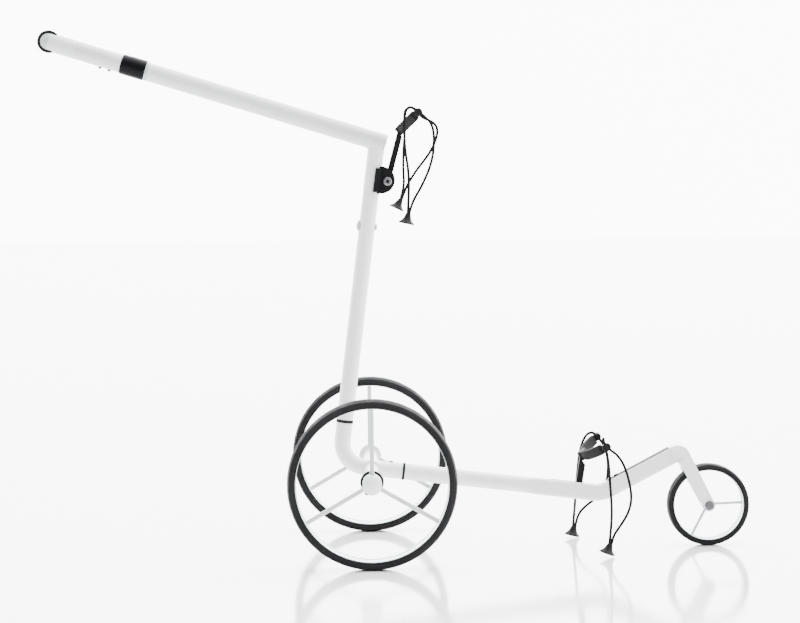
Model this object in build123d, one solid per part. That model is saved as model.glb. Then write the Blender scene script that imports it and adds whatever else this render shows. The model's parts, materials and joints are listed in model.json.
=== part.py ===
"""Three-wheel golf push cart: a bent tube frame, two folding bag cradles and elastic cord loops.

Millimetres. +Z is up, +X is the way the cart rolls and +Y is its left side.
The origin is under the middle of the cart, at floor level.
"""
import math
import os

from build123d import *

OUT = "parts"
os.makedirs(OUT, exist_ok=True)

# ---------------------------------------------------------------- driving dimensions
REAR_R = 150.0  # rear tyre radius at its crown
REAR_WIDTH = 56.0
TRACK = 560.0  # between the middles of the rear tyres
FRONT_R = 75.7
FRONT_WIDTH = 40.0
WHEELBASE = 623.4
X_AXLE = -47.9  # rear axle, so that the whole length is centred on the origin

MAIN_TUBE_R = 15.0
MAIN_TILT = 7.18  # main tube, degrees forward of vertical
HANDLE_R = 17.0
HANDLE_RISE = 17.5  # handle, degrees above level towards the rear
FRONT_TUBE_R = 15.0
FRONT_DROP = 7.0  # front tube, degrees below level towards the front
BAR_RISE = 27.5  # rising end of the front tube
WALL = 2.0
WELD_Z = 151.0  # height of the front tube's axis over the rear axle

CORD_R = 2.25
CRADLE_R = 154.5  # radius of the bag rest, at the middle of its steel band
CRADLE_DEPTH = 41.0  # from the band's middle to its tips
RUNNING = 0.05  # radial clearance of a turning or sliding fit
APART = 0.4  # gap between pieces that move past each other

# ---------------------------------------------------------------- helpers


def at(x, z, y=0.0):
    """A point measured from the rear axle's place on the floor."""
    return Vector(X_AXLE + x, y, z)


def heading(degrees):
    """Unit vector in the XZ plane, degrees above +X."""
    return Vector(math.cos(math.radians(degrees)), 0, math.sin(math.radians(degrees)))


def rod(start, end, radius):
    """Solid cylinder from one point to another."""
    line = end - start
    return Plane(origin=start, z_dir=line) * Cylinder(
        radius, line.length, align=(Align.CENTER, Align.CENTER, Align.MIN)
    )


def cross_rod(centre, radius, y_low, y_high):
    """Solid cylinder along Y through a point of the XZ plane."""
    return rod(Vector(centre.X, y_low, centre.Z), Vector(centre.X, y_high, centre.Z), radius)


def pipe(start, end, r_out, r_in):
    """Hollow cylinder, open at both ends."""
    way = (end - start).normalized()
    return rod(start, end, r_out) - rod(start - way, end + way, r_in)


def side_plane(origin, along):
    """Sketch plane in XZ: its x runs along the given way and its y is square to it, upwards."""
    return Plane(origin=origin, x_dir=along, z_dir=Vector(0, -1, 0))


def across(plane, profile, y_low, y_high):
    """Extrudes a profile of a side plane between two values of Y."""
    solid = plane * extrude(profile, amount=y_high - y_low)
    return Pos(0, y_high, 0) * solid


def turned(profile, centre, y=0.0):
    """Solid of revolution about Y: the profile's x is the radius, its y the place on the axle."""
    return Pos(centre.X, y, centre.Z) * revolve(profile, Axis.Y)


def domed(radius, edge, height):
    """Round button standing on the XY plane, with an upright edge and a domed top."""
    rise = height - edge
    sphere_r = (radius**2 + rise**2) / (2 * rise)
    body = Cylinder(radius, height, align=(Align.CENTER, Align.CENTER, Align.MIN))
    return body & (Pos(0, 0, height - sphere_r) * Sphere(sphere_r))


def save(name, shape):
    """Writes one node, and keeps it for the overall size."""
    shape.label = name
    export_step(shape, f"{OUT}/{name}.step")
    NODES[name] = shape


NODES = {}

# ---------------------------------------------------------------- places that several pieces share
REAR_AXLE = at(0, REAR_R)
FRONT_AXLE = at(WHEELBASE, FRONT_R)
WELD = at(0, WELD_Z)
MAIN_UP = heading(90 - MAIN_TILT)
FRONT_WAY = heading(-FRONT_DROP)
BAR_WAY = heading(BAR_RISE)
HANDLE_BACK = heading(180 - HANDLE_RISE)
HANDLE_NORMAL = heading(90 - HANDLE_RISE)
ELBOW_CORNER = at(-57.5, 158.1)  # where the main tube's and the front tube's axes would meet
HANDLE_FRONT = at(34.2, 748.2)
MAIN_LENGTH = 599.8  # from the elbow corner to the handle's axis
BAR_END = at(558.8, 168.0)  # where the rising bar meets the fork crown
UPPER_PIVOT = at(36.4, 679.7)
LOWER_PIVOT = at(382.7, 104.0)


def on_main(distance):
    """A point on the main tube's axis, measured from the elbow corner."""
    return ELBOW_CORNER + MAIN_UP * distance


def on_front(distance):
    """A point on the front tube's axis, measured from the rear axle."""
    return WELD + FRONT_WAY * distance


FRONT_NORMAL = heading(90 - FRONT_DROP)
BAR_LENGTH = (BAR_END - WELD).dot(FRONT_NORMAL) / BAR_WAY.dot(FRONT_NORMAL)
BEND = BAR_END - BAR_WAY * BAR_LENGTH  # corner of the front tube's bend


def on_handle(distance, out=0.0):
    """A point on the handle's axis, measured from its front end, or that far out from it."""
    return HANDLE_FRONT + HANDLE_BACK * distance + HANDLE_NORMAL * out


# ================================================================ wheels


def ring_profile(points):
    """Closed half-profile of a wheel part, mirrored about its mid-plane."""
    mirrored = [(r, -y) for r, y in reversed(points)]
    return make_face(Polyline(*points, *mirrored, close=True))


LIP = 3.0  # width of the tyre's lip beside the rim
RIM_SEAT = 3.5  # depth of the rim under the tyre


def tyre_profile(radius, width, bore, shoulder):
    """Crowned tread, upright side walls, and lips that fold over the rim's edges."""
    half = width / 2
    tread_edge = radius - shoulder
    rim_edge = half - LIP
    seat = bore + RIM_SEAT
    return make_face(
        [
            ThreePointArc((tread_edge, -half + 1.5), (radius, 0), (tread_edge, half - 1.5)),
            Line((tread_edge, half - 1.5), (tread_edge - 2, half)),
            Line((tread_edge - 2, half), (bore, half)),
            Line((bore, half), (bore, rim_edge)),
            Line((bore, rim_edge), (seat, rim_edge)),
            Line((seat, rim_edge), (seat, -rim_edge)),
            Line((seat, -rim_edge), (bore, -rim_edge)),
            Line((bore, -rim_edge), (bore, -half)),
            Line((bore, -half), (tread_edge - 2, -half)),
            Line((tread_edge - 2, -half), (tread_edge, -half + 1.5)),
        ]
    )


def wheel_tyre(centre, y, radius, width, bore, shoulder):
    return turned(tyre_profile(radius, width, bore, shoulder), centre, y)


def wheel_rim(centre, y, bore, width):
    """Rolled band under the tyre, with a shallow well in its middle."""
    half = width / 2 - LIP
    seat = bore + RIM_SEAT
    lip_r = bore - 0.5
    well_r = bore + 0.5
    profile = ring_profile([(seat, half), (lip_r, half), (lip_r, half - 5), (well_r, half - 7)])
    return turned(profile, centre, y)


def wheel_spider(centre, y, hub_r, hub_half, seat_r, seat_depth, bore_r, spoke_r, rim_bore, angles):
    """Hub with three round spokes, bored for its two bearings."""
    shape = cross_rod(centre, hub_r, y - hub_half, y + hub_half)
    spokes = [
        rod(
            Vector(centre.X, y, centre.Z) + heading(a) * (hub_r * 0.6),
            Vector(centre.X, y, centre.Z) + heading(a) * (rim_bore + 3),
            spoke_r,
        )
        for a in angles
    ]
    inside_rim = cross_rod(centre, rim_bore, y - hub_half, y + hub_half)
    for spoke in spokes:
        shape += spoke & inside_rim
    shape -= cross_rod(centre, bore_r, y - hub_half - 1, y + hub_half + 1)
    shape -= cross_rod(centre, seat_r, y - hub_half - 1, y - hub_half + seat_depth)
    shape -= cross_rod(centre, seat_r, y + hub_half - seat_depth, y + hub_half + 1)
    return shape


def bearing_pair(centre, y, hub_half, width, r_out, r_in):
    """Two ball bearings, each one closed ring."""
    near = y - hub_half
    far = y + hub_half
    hole = cross_rod(centre, r_in, near - 1, far + 1)
    low = cross_rod(centre, r_out, near, near + width) - hole
    high = cross_rod(centre, r_out, far - width, far) - hole
    return Compound(children=[low, high])


REAR_BORE = 134.5
REAR_HUB_R = 17.0
REAR_HUB_HALF = 24.0
REAR_HUB_BORE = 9.0
HUB_CAP_EDGE = 0.5
HUB_CAP_HEIGHT = 9.0
REAR_SPOKE_R = 4.0
REAR_SPOKES = (90, 210, 330)
REAR_BEARING_R = 14.0
REAR_BEARING_WIDTH = 8.0
STUB_R = 6.0

for side, sign in (("left", 1), ("right", -1)):
    y_wheel = sign * TRACK / 2
    save(f"rear_tyre_{side}", wheel_tyre(REAR_AXLE, y_wheel, REAR_R, REAR_WIDTH, REAR_BORE, 3.5))
    save(f"rear_rim_{side}", wheel_rim(REAR_AXLE, y_wheel, REAR_BORE, REAR_WIDTH))
    save(
        f"rear_spider_{side}",
        wheel_spider(
            REAR_AXLE, y_wheel, REAR_HUB_R, REAR_HUB_HALF, REAR_BEARING_R, REAR_BEARING_WIDTH,
            REAR_HUB_BORE, REAR_SPOKE_R, REAR_BORE - 0.5, REAR_SPOKES,
        ),
    )
    rear_pair = bearing_pair(
        REAR_AXLE, y_wheel, REAR_HUB_HALF, REAR_BEARING_WIDTH, REAR_BEARING_R, STUB_R + RUNNING
    )
    save(f"rear_bearings_{side}", rear_pair)
    # a domed cap closes the hub's outer end
    cap_foot = Vector(REAR_AXLE.X, y_wheel + sign * REAR_HUB_HALF, REAR_AXLE.Z)
    cap = Plane(origin=cap_foot, z_dir=Vector(0, sign, 0)) * domed(
        REAR_HUB_R, HUB_CAP_EDGE, HUB_CAP_HEIGHT
    )
    save(f"rear_hub_cap_{side}", cap)

FRONT_BORE = 64.3
FRONT_HUB_R = 12.0
FRONT_HUB_HALF = 18.0
FRONT_HUB_BORE = 6.0
FRONT_SPOKE_R = 2.5
FRONT_SPOKES = (2, 122, 242)
FRONT_BEARING_R = 9.5
FRONT_BEARING_WIDTH = 6.0
FRONT_BOLT_R = 4.0

save("front_tyre", wheel_tyre(FRONT_AXLE, 0, FRONT_R, FRONT_WIDTH, FRONT_BORE, 2.6))
save("front_rim", wheel_rim(FRONT_AXLE, 0, FRONT_BORE, FRONT_WIDTH))
save(
    "front_spider",
    wheel_spider(
        FRONT_AXLE, 0, FRONT_HUB_R, FRONT_HUB_HALF, FRONT_BEARING_R, FRONT_BEARING_WIDTH,
        FRONT_HUB_BORE, FRONT_SPOKE_R, FRONT_BORE - 0.5, FRONT_SPOKES,
    ),
)
front_pair = bearing_pair(
    FRONT_AXLE, 0, FRONT_HUB_HALF, FRONT_BEARING_WIDTH, FRONT_BEARING_R, FRONT_BOLT_R + RUNNING
)
save("front_bearings", front_pair)

# ================================================================ rear axle and centre elbow
AXLE_TUBE_R = 13.0
AXLE_TUBE_HALF = 240.0
PLUG_START = 200.0
STUB_END = 303.5
SHOULDER_R = 8.0
SHOULDER_END = 255.7
FLANGE_R = 21.0
FLANGE_THICK = 4.5

axle_hole = cross_rod(REAR_AXLE, AXLE_TUBE_R - WALL, -AXLE_TUBE_HALF - 1, AXLE_TUBE_HALF + 1)
save("axle_tube", cross_rod(REAR_AXLE, AXLE_TUBE_R, -AXLE_TUBE_HALF, AXLE_TUBE_HALF) - axle_hole)


def axle_disc(radius, low, high, sign):
    """Disc on the rear axle, between two distances from the middle of the cart."""
    return cross_rod(REAR_AXLE, radius, *sorted((sign * low, sign * high)))


def stub_axle(sign):
    """Plug in the axle tube, shoulder and the spindle that the wheel turns on."""
    plug = axle_disc(AXLE_TUBE_R - WALL, PLUG_START, AXLE_TUBE_HALF, sign)
    shoulder = axle_disc(SHOULDER_R, AXLE_TUBE_HALF, SHOULDER_END, sign)
    return plug + shoulder + axle_disc(STUB_R, SHOULDER_END, STUB_END, sign)


def axle_flange(sign):
    """Round plate on the end of the axle tube."""
    start = AXLE_TUBE_HALF
    plate = axle_disc(FLANGE_R, start, start + FLANGE_THICK, sign)
    return plate - axle_disc(SHOULDER_R, start - 1, start + FLANGE_THICK + 1, sign)


save("stub_axles", Compound(children=[stub_axle(1), stub_axle(-1)]))
save("axle_flanges", Compound(children=[axle_flange(1), axle_flange(-1)]))

# a ring round each shoulder lets its wheel go when it is turned by its short tail
LEVER_R = 20.6
LEVER_TAIL = 24.5
LEVER_START = 245.0
LEVER_END = 250.0
TAIL_WAY = heading(243)
TAIL_ROOT_HALF = 3.6
TAIL_TIP_HALF = 3.2
tail_profile = make_face(
    Polyline(
        (10, -TAIL_ROOT_HALF), (LEVER_TAIL - 1, -TAIL_TIP_HALF), (LEVER_TAIL, -2),
        (LEVER_TAIL, 2), (LEVER_TAIL - 1, TAIL_TIP_HALF), (10, TAIL_ROOT_HALF), close=True,
    )
)
for side, sign in (("left", 1), ("right", -1)):
    lever_ends = sorted((sign * LEVER_START, sign * LEVER_END))
    release = cross_rod(REAR_AXLE, LEVER_R, *lever_ends)
    release += across(side_plane(REAR_AXLE, TAIL_WAY), tail_profile, *lever_ends)
    release -= axle_disc(SHOULDER_R + 0.08, LEVER_START - 1, LEVER_END + 1, sign)
    save(f"release_lever_{side}", release)

# the elbow turns from the main tube's axis to the front tube's, and is welded round the axle tube
ELBOW_TOP = 77.9
SEAL = 5.5
SOCKET_END = 58.1
FRONT_SEAL = 4.6
SOCKET_IN = 13.0
ELBOW_RADIUS = 45.0
BARREL_R = 17.5
BARREL_HALF = 32.0
elbow_path = FilletPolyline(on_main(ELBOW_TOP), ELBOW_CORNER, on_front(-6), radius=ELBOW_RADIUS)
elbow_mouth = Plane(origin=on_main(ELBOW_TOP), z_dir=MAIN_UP)
elbow_skin = sweep(elbow_mouth * Circle(MAIN_TUBE_R), path=elbow_path)
elbow_core = sweep(elbow_mouth * Circle(SOCKET_IN), path=elbow_path)
elbow = elbow_skin + cross_rod(REAR_AXLE, BARREL_R, -BARREL_HALF, BARREL_HALF)
elbow += rod(WELD, on_front(SOCKET_END), FRONT_TUBE_R)
elbow -= elbow_core
elbow -= rod(on_main(ELBOW_TOP - 1), on_main(ELBOW_TOP + 5), SOCKET_IN)
elbow -= rod(on_front(16), on_front(SOCKET_END + 5), SOCKET_IN)
elbow -= cross_rod(REAR_AXLE, AXLE_TUBE_R, -BARREL_HALF - 1, BARREL_HALF + 1)

BUTTON_AT = 35.4
BUTTON_R = 4.0
button_hole = rod(on_front(BUTTON_AT), on_front(BUTTON_AT) + FRONT_NORMAL * 20, BUTTON_R + RUNNING)
save("centre_elbow", elbow - button_hole)

SEAL_R = 15.8
save(
    "socket_seals",
    Compound(
        children=[
            pipe(on_main(ELBOW_TOP), on_main(ELBOW_TOP + SEAL), SEAL_R, SOCKET_IN),
            pipe(on_front(SOCKET_END), on_front(SOCKET_END + FRONT_SEAL), SEAL_R, SOCKET_IN),
        ]
    ),
)

# the spring button that locks the front tube in its socket
BUTTON_TOP = 16.4
BUTTON_FLANGE = (7.5, 9.3)
button_foot = on_front(BUTTON_AT)
button = rod(button_foot + FRONT_NORMAL * 8.5, button_foot + FRONT_NORMAL * BUTTON_TOP, BUTTON_R)
flange_low, flange_high = (button_foot + FRONT_NORMAL * height for height in BUTTON_FLANGE)
button += rod(flange_low, flange_high, BUTTON_R + 1.5)
save("snap_button", button)

# ================================================================ main tube
MAIN_START = ELBOW_TOP + SEAL
main_axis_end = on_main(MAIN_LENGTH)
handle_skin = rod(on_handle(-5), on_handle(200), HANDLE_R)
main_tube = rod(on_main(MAIN_START), main_axis_end, MAIN_TUBE_R) - rod(
    on_main(MAIN_START - 1), main_axis_end, MAIN_TUBE_R - WALL
)
main_tube += pipe(on_main(ELBOW_TOP - 30), on_main(MAIN_START + 20), SOCKET_IN, SOCKET_IN - WALL)
main_tube -= handle_skin

BOLT_AT = 442.5  # cross bolt, from the elbow corner
MAIN_FORWARD = heading(-MAIN_TILT)
bolt_middle = on_main(BOLT_AT)
CROSS_BOLT_R = 2.5
CROSS_BOLT_HALF = 17.0
bolt_shaft = rod(
    bolt_middle - MAIN_FORWARD * CROSS_BOLT_HALF, bolt_middle + MAIN_FORWARD * CROSS_BOLT_HALF, CROSS_BOLT_R
)
save("main_tube", main_tube - bolt_shaft)
DOME_R = 10.0
NUT_R = 5.5
NUT_OUT = 18.3
dome = Plane(origin=bolt_middle - MAIN_FORWARD * 11, z_dir=MAIN_FORWARD * -1) * domed(DOME_R, 5.0, 8.8)
nut = rod(bolt_middle + MAIN_FORWARD * 12, bolt_middle + MAIN_FORWARD * NUT_OUT, NUT_R)
whole_main = rod(on_main(300), on_main(560), MAIN_TUBE_R)
save("main_cross_bolt", (dome + nut) - whole_main + bolt_shaft)

# ================================================================ handle
HANDLE_IN = HANDLE_R - WALL
CAP_THICK = 3.0
COLLAR_START = 461.0
COLLAR_END = 507.0
COLLAR_R = 18.5
RING_WIDTH = 5.5
RING_THICK = 0.6
SPIGOT_R = HANDLE_IN - 0.07
GRIP_END = 645.7  # centre of the rounded end

save("handle_tube", pipe(on_handle(CAP_THICK), on_handle(COLLAR_START), HANDLE_R, HANDLE_IN))
front_cap = rod(on_handle(0), on_handle(CAP_THICK), HANDLE_R) + rod(
    on_handle(CAP_THICK), on_handle(CAP_THICK + 9), HANDLE_IN
)
save("handle_front_cap", front_cap)
clamp_ring = pipe(
    on_handle(COLLAR_START - RING_WIDTH), on_handle(COLLAR_START), HANDLE_R + RING_THICK, HANDLE_R
)
save("clamp_ring", clamp_ring)

# clamp collar with a flush lever on top
LEVER_PIN = 489.0
PIN_OUT = 17.6
PIN_RADIUS = 0.7
KNUCKLE_R = 1.3
LEVER_HALF = 6.5
LEVER_FLOOR = 16.4
POCKET_FLOOR = 15.9
collar = rod(on_handle(COLLAR_START), on_handle(COLLAR_END), COLLAR_R)
collar = fillet(collar.edges().filter_by(GeomType.CIRCLE), 2.5)
collar -= rod(on_handle(COLLAR_START - 1), on_handle(COLLAR_END + 1), HANDLE_IN)
handle_plane = side_plane(HANDLE_FRONT, HANDLE_BACK * -1)


def handle_box(start, end, low, high, half):
    """Block on the handle, between two places along it and two heights over its axis."""
    profile = make_face(Polyline((-start, low), (-end, low), (-end, high), (-start, high), close=True))
    return across(handle_plane, profile, -half, half)


lever_centre = on_handle(LEVER_PIN, PIN_OUT)
pin = cross_rod(lever_centre, PIN_RADIUS, -9.5, 9.5)
pocket_end = LEVER_PIN + KNUCKLE_R + 0.6
collar -= handle_box(COLLAR_START - 1, pocket_end, POCKET_FLOOR, COLLAR_R + 4, LEVER_HALF + APART)
lever = handle_box(COLLAR_START + 0.5, LEVER_PIN, LEVER_FLOOR, PIN_OUT + KNUCKLE_R, LEVER_HALF)
lever += cross_rod(lever_centre, KNUCKLE_R, -LEVER_HALF, LEVER_HALF)
lever &= rod(on_handle(COLLAR_START), on_handle(COLLAR_END), COLLAR_R + 0.4)
save("clamp_collar", collar - pin)
save("clamp_lever", lever - cross_rod(lever_centre, PIN_RADIUS + RUNNING, -9, 9))
save("clamp_lever_pin", pin)

# grip: outer tube, the inner tube that telescopes, rounded end and its rubber bumper
ball = Pos(on_handle(GRIP_END)) * Sphere(HANDLE_R)
grip_start = COLLAR_END + APART
grip_inner = pipe(on_handle(COLLAR_END - 145), on_handle(grip_start), SPIGOT_R, SPIGOT_R - WALL)
grip_inner += pipe(on_handle(grip_start), on_handle(COLLAR_END + 60), HANDLE_IN, SPIGOT_R - WALL)
save("grip_tube", pipe(on_handle(grip_start), on_handle(GRIP_END), HANDLE_R, HANDLE_IN))
save("grip_inner_tube", grip_inner)
grip_cap = ball - rod(on_handle(GRIP_END), on_handle(GRIP_END - 40), HANDLE_R + 5)
grip_cap += rod(on_handle(GRIP_END), on_handle(GRIP_END - 15), HANDLE_IN)
save("grip_end_cap", grip_cap)

BUMPER_R = 20.6
BUMPER_HALF = 8.0
BUMPER_GAP = 55.0  # the band stops this many degrees from the tube's axis, on each side
GAP_REACH = 60.0
gap_x = GAP_REACH * math.cos(math.radians(BUMPER_GAP))
gap_y = GAP_REACH * math.sin(math.radians(BUMPER_GAP))
gap_profile = make_face(
    Polyline((0, 0), (gap_x, gap_y), (GAP_REACH, 0), (gap_x, -gap_y), close=True)
)
gap_plane = side_plane(on_handle(GRIP_END), HANDLE_BACK * -1)
bumper = cross_rod(on_handle(GRIP_END), BUMPER_R, -BUMPER_HALF, BUMPER_HALF) - ball
bumper -= across(gap_plane, gap_profile, -BUMPER_HALF - 1, BUMPER_HALF + 1)
bumper -= rod(on_handle(GRIP_END), on_handle(GRIP_END - 60), HANDLE_R)
save("grip_bumper", bumper)


STUD_R = 3.2


def stud(distance):
    """Small domed screw under the grip."""
    foot = on_handle(distance, -HANDLE_R)
    shank = rod(on_handle(distance, -HANDLE_R + 4), foot - HANDLE_NORMAL * 1.8, STUD_R)
    head = Pos(foot - HANDLE_NORMAL * 0.2) * Sphere(STUD_R)
    return shank + head - rod(on_handle(distance - 10), on_handle(distance + 10), HANDLE_R)


save("grip_studs", Compound(children=[stud(525.2), stud(542.6)]))

# ================================================================ bag cradles, upper and lower the same
BAND_HALF = 2.5
BAND_HEIGHT = 12.0
PAD_IN = 5.5
PAD_OUT = 4.5
PAD_HEIGHT = 17.0
PAD_START = 4.5
PAD_END = 37.0
BAND_END = 41.0
DISC_R = 6.0
DISC_START = 92.5  # the disc on each tip, from the middle of the cart
PEG_R = 3.0
PEG_END = 103.0
SWIVEL_R = 7.6
SWIVEL_IN = 98.0
SWIVEL_OUT = 112.0
BOSS_R = 9.0
BOSS_HALF = 8.5


class Cradle:
    """A curved bag rest: its root is the band's middle, and its plane rises towards the front."""

    def __init__(self, root, rise):
        self.way = heading(rise)
        self.normal = heading(rise + 90)
        self.root = root
        self.tip = root + self.way * CRADLE_DEPTH
        self.plane = Plane(origin=root + self.way * CRADLE_R, x_dir=self.way * -1, z_dir=self.normal)

    def sector(self, r_low, r_high, height, start, end):
        """Part of a ring about the cradle's centre, between two angles from its root, on the left."""
        low, high = math.radians(start), math.radians(end)
        middle = (low + high) / 2

        def p(radius, angle):
            return (radius * math.cos(angle), -radius * math.sin(angle))

        face = make_face(
            [
                ThreePointArc(p(r_high, low), p(r_high, middle), p(r_high, high)),
                Line(p(r_high, high), p(r_low, high)),
                ThreePointArc(p(r_low, high), p(r_low, middle), p(r_low, low)),
                Line(p(r_low, low), p(r_high, low)),
            ]
        )
        return self.plane * Pos(0, 0, -height / 2) * extrude(face, amount=height)

    def band(self):
        """Steel band with a boss at its root and a peg across each tip."""
        half = self.sector(CRADLE_R - BAND_HALF, CRADLE_R + BAND_HALF, BAND_HEIGHT, -0.5, BAND_END)
        half -= cross_rod(self.tip, CRADLE_DEPTH, SWIVEL_IN - APART, SWIVEL_OUT)
        disc = cross_rod(self.tip, DISC_R, DISC_START, SWIVEL_IN - APART)
        peg = cross_rod(self.tip, PEG_R, DISC_START, PEG_END)
        side = half + disc + peg
        return side + mirror(side, Plane.XZ) + self.boss()

    def boss(self):
        """Upright round boss at the root, where the bar ends."""
        return rod(self.root - self.normal * BOSS_HALF, self.root + self.normal * BOSS_HALF, BOSS_R)

    def boss_space(self):
        """The same boss made longer, to cut its neighbours back."""
        return rod(self.root - self.normal * 20, self.root + self.normal * 20, BOSS_R)

    def pads(self):
        """Rubber sleeves, one on each arm of the band."""
        outer = self.sector(CRADLE_R - PAD_IN, CRADLE_R + PAD_OUT, PAD_HEIGHT, PAD_START, PAD_END)
        outer = fillet(outer.edges().filter_by(GeomType.CIRCLE), 2.0)
        hole = self.sector(
            CRADLE_R - BAND_HALF, CRADLE_R + BAND_HALF, BAND_HEIGHT, PAD_START - 2, PAD_END + 2
        )
        pad = outer - hole
        pad -= self.boss_space()
        return Compound(children=[pad, mirror(pad, Plane.XZ)])

    def swivels(self, left_cord, right_cord):
        """Round cord holders on the tips' pegs, each with a hole that its cord runs through."""
        shapes = []
        for sign, cord in ((1, left_cord), (-1, right_cord)):
            shape = cross_rod(self.tip, SWIVEL_R, *sorted((sign * SWIVEL_IN, sign * SWIVEL_OUT)))
            shape = fillet(shape.edges().filter_by(GeomType.CIRCLE), 2.0)
            peg_hole = sorted((sign * (SWIVEL_IN - 1), sign * (PEG_END + APART)))
            shape -= cross_rod(self.tip, PEG_R + RUNNING, *peg_hole)
            shapes.append(shape - cord)
        return Compound(children=shapes)


def strap_bar(start, end, width, thick, hole_r):
    """Flat bar with a rounded, drilled foot."""
    way = (end - start).normalized()
    length = (end - start).length
    half = width / 2
    profile = make_face(
        [
            ThreePointArc((0, half), (-half, 0), (0, -half)),
            Line((0, -half), (length, -half)),
            Line((length, -half), (length, half)),
            Line((length, half), (0, half)),
        ]
    )
    bar = across(side_plane(start, way), profile, -thick / 2, thick / 2)
    return bar - cross_rod(start, hole_r, -thick, thick)


# ---------------------------------------------------------------- upper cradle and its bracket
UPPER = Cradle(at(62.4, 775.2), 44.5)
UPPER_BAR_WIDTH = 10.8
UPPER_BAR_THICK = 7.0
UPPER_SLOT_HALF = 5.0
BRACKET_HALF = 11.0
SADDLE_HALF = 19.0
PIVOT_BOLT_R = 4.0

PIVOT_HOLE_R = PIVOT_BOLT_R + RUNNING
FOOT_R = 7.2

upper_bar = strap_bar(UPPER_PIVOT, UPPER.root, UPPER_BAR_WIDTH, UPPER_BAR_THICK, PIVOT_HOLE_R)
upper_foot = cross_rod(UPPER_PIVOT, FOOT_R, -UPPER_BAR_THICK / 2, UPPER_BAR_THICK / 2)
upper_foot -= cross_rod(UPPER_PIVOT, PIVOT_HOLE_R, -UPPER_BAR_THICK, UPPER_BAR_THICK)
save("upper_bar", upper_bar + upper_foot - UPPER.boss_space())
save("upper_cradle", UPPER.band())
save("upper_pads", UPPER.pads())

BRACKET_R = 25.0
SADDLE_WRAP = 11.0  # length of the saddle's two cheeks beside the main tube
bracket_middle = at(25.0, 682.2)
bracket_plane = side_plane(bracket_middle, Vector(1, 0, 0))
BACK_TOP = -10.0
BACK_FOOT = -16.0
bracket_profile = make_face(
    [
        ThreePointArc((0, -BRACKET_R), (BRACKET_R, 0), (0, BRACKET_R)),
        Line((0, BRACKET_R), (BACK_TOP + 3, BRACKET_R)),
        Line((BACK_TOP + 3, BRACKET_R), (BACK_TOP - 0.4, BRACKET_R - 3)),
        Line((BACK_TOP - 0.4, BRACKET_R - 3), (BACK_FOOT + 0.4, -BRACKET_R + 3)),
        Line((BACK_FOOT + 0.4, -BRACKET_R + 3), (BACK_FOOT + 3, -BRACKET_R)),
        Line((BACK_FOOT + 3, -BRACKET_R), (0, -BRACKET_R)),
    ]
)
bracket = across(bracket_plane, bracket_profile, -BRACKET_HALF, BRACKET_HALF)
saddle_profile = make_face(
    Polyline(
        (BACK_TOP, BRACKET_R - 3),
        (BACK_FOOT, -BRACKET_R + 3),
        (BACK_FOOT + SADDLE_WRAP, -BRACKET_R + 3),
        (BACK_TOP + SADDLE_WRAP, BRACKET_R - 3),
        close=True,
    )
)
bracket += across(bracket_plane, saddle_profile, -SADDLE_HALF, SADDLE_HALF)
bracket -= rod(on_main(400), on_main(590), MAIN_TUBE_R)
bar_slot = make_face(Polyline((2, -40), (40, -40), (40, 40), (2, 40), close=True))
bracket -= across(bracket_plane, bar_slot, -UPPER_SLOT_HALF, UPPER_SLOT_HALF)
save("upper_bracket", bracket - cross_rod(UPPER_PIVOT, PIVOT_BOLT_R, -20, 20))

bolt = cross_rod(UPPER_PIVOT, PIVOT_BOLT_R, -BRACKET_HALF - 3, BRACKET_HALF + 2)
HEAD_R = 8.0
NUT_HALF = 6.5
SOCKET_HALF = 3.4
pivot_plane = side_plane(UPPER_PIVOT, Vector(1, 0, 0))
head = cross_rod(UPPER_PIVOT, HEAD_R, -BRACKET_HALF - 4, -BRACKET_HALF)
head = fillet(head.edges().filter_by(GeomType.CIRCLE).sort_by(Axis.Y)[0], 2.0)
hex_nut = across(pivot_plane, RegularPolygon(NUT_HALF, 6), BRACKET_HALF, BRACKET_HALF + 5)
socket = across(pivot_plane, RegularPolygon(SOCKET_HALF, 6), -BRACKET_HALF - 5, -BRACKET_HALF + 1)
save("upper_pivot_bolt", bolt + head + hex_nut - socket)

WASHER_R = 7.0
washers = []
for sign in (1, -1):
    ends = sorted((sign * UPPER_BAR_THICK / 2, sign * (UPPER_SLOT_HALF - 0.3)))
    washers.append(cross_rod(UPPER_PIVOT, WASHER_R, *ends) - cross_rod(UPPER_PIVOT, PIVOT_HOLE_R, *ends))
save("upper_pivot_washers", Compound(children=washers))

# ---------------------------------------------------------------- lower cradle
LOWER = Cradle(at(393.3, 170.8), 34.0)
POST_THICK = 8.0
POST_WIDTH = 12.0
PIN_R = 3.0
lower_post = strap_bar(LOWER_PIVOT, LOWER.root, POST_WIDTH, POST_THICK, PIN_R + RUNNING)
save("lower_post", lower_post - LOWER.boss_space())
save("lower_cradle", LOWER.band())
save("lower_pads", LOWER.pads())

# ================================================================ front tube
# it is round at first, then flat-sided and bent up
BAR_WIDTH = 24.0
BAR_HEIGHT = 31.0
ROUND_END = 282.0
FLAT_START = 306.3
BEND_RADIUS = 48.0


def tube_section(distance, radius):
    return Plane(origin=on_front(distance), x_dir=(0, 1, 0), z_dir=FRONT_WAY) * Circle(radius)


def flat_section(distance, inset):
    outline = RectangleRounded(BAR_WIDTH - 2 * inset, BAR_HEIGHT - 2 * inset, 7.0 - inset)
    return Plane(origin=on_front(distance), x_dir=(0, 1, 0), z_dir=FRONT_WAY) * outline


def front_solid(inset):
    """The front tube's outside, or its inside when inset is the wall."""
    start = SOCKET_END + FRONT_SEAL
    radius = FRONT_TUBE_R - inset
    straight = rod(on_front(start), on_front(ROUND_END), radius)
    change = loft([tube_section(ROUND_END, radius), flat_section(FLAT_START, inset)])
    path = FilletPolyline(on_front(FLAT_START), BEND, BAR_END, radius=BEND_RADIUS)
    bent = sweep(flat_section(FLAT_START, inset), path=path)
    return straight + change + bent


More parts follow.
